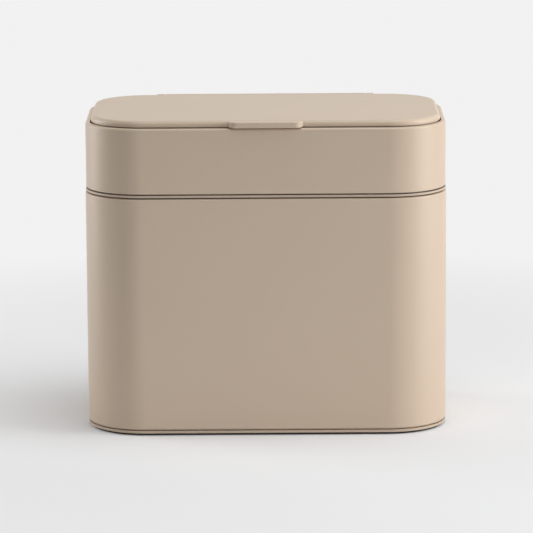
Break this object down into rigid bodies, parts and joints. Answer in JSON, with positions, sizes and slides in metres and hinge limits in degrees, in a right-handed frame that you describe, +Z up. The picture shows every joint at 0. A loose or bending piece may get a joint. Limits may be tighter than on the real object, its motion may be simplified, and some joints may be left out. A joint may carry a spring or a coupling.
{
  "type": "compost caddy",
  "caption": "Countertop compost caddy with rounded corners: lift-out bucket, lift-off collar and a hinged lid with a front finger tab and a charcoal filter inside.",
  "frame": {"origin": "on the resting plane, under the centre of the bounding box", "axes": "+X to the right seen from the front, +Y from the front with the finger tab to the back with the hinge, +Z up"},
  "size_m": [0.241, 0.1404, 0.2109],
  "materials": {
    "body_paint": "satin matt powder coat, taupe",
    "taupe_plastic": "matt moulding in the body's colour",
    "bucket_plastic": "satin polypropylene, taupe",
    "grey_plastic": "matt moulding, dark brown grey",
    "grip_plastic": "matt moulding, grey brown",
    "foot_rubber": "matt rubber, black",
    "seal_silicone": "matt silicone, grey",
    "bail_steel": "drawn wire, bright",
    "screw_steel": "zinc plate",
    "charcoal_felt": "carbon felt, black"
  },
  "bodies": {
    "body": {"body_shell": "body_paint", "rim_guard": "grey_plastic", "base_cover": "taupe_plastic", "floor_tray": "grey_plastic", "base_screws": "screw_steel", "foot_ring": "foot_rubber"},
    "bucket": {"inner_bucket": "bucket_plastic"},
    "handle": {"handle_bail": "bail_steel", "handle_grip": "grip_plastic"},
    "collar": {"collar_shell": "body_paint", "collar_frame": "grey_plastic", "collar_funnel": "grey_plastic", "collar_gasket": "seal_silicone", "hinge_bracket": "body_paint", "hinge_rod": "bail_steel", "hinge_screws": "screw_steel"},
    "lid": {"lid_panel": "body_paint", "lid_liner": "grey_plastic", "lid_gasket": "seal_silicone", "lid_screws": "screw_steel"},
    "filter": {"filter_cassette": "bucket_plastic", "filter_pad": "charcoal_felt"}
  },
  "joints": [
    {"name": "bucket_lift", "type": "slide", "parent": "body", "child": "bucket", "axis": [0, 0, 1], "range_m": [0, 0.175]},
    {"name": "handle_swing", "type": "hinge", "parent": "bucket", "child": "handle", "pos_m": [0, 0.00075, 0.15], "axis": [1, 0, 0], "range_deg": [0, 180]},
    {"name": "collar_lift", "type": "slide", "parent": "bucket", "child": "collar", "axis": [0, 0, 1], "range_m": [0, 0.12]},
    {"name": "lid_hinge", "type": "hinge", "parent": "collar", "child": "lid", "pos_m": [0, 0.06655, 0.2077], "axis": [-1, 0, 0], "range_deg": [0, 98]},
    {"name": "filter_slide", "type": "slide", "parent": "lid", "child": "filter", "axis": [1, 0, 0], "range_m": [0, 0.014]}
  ]
}
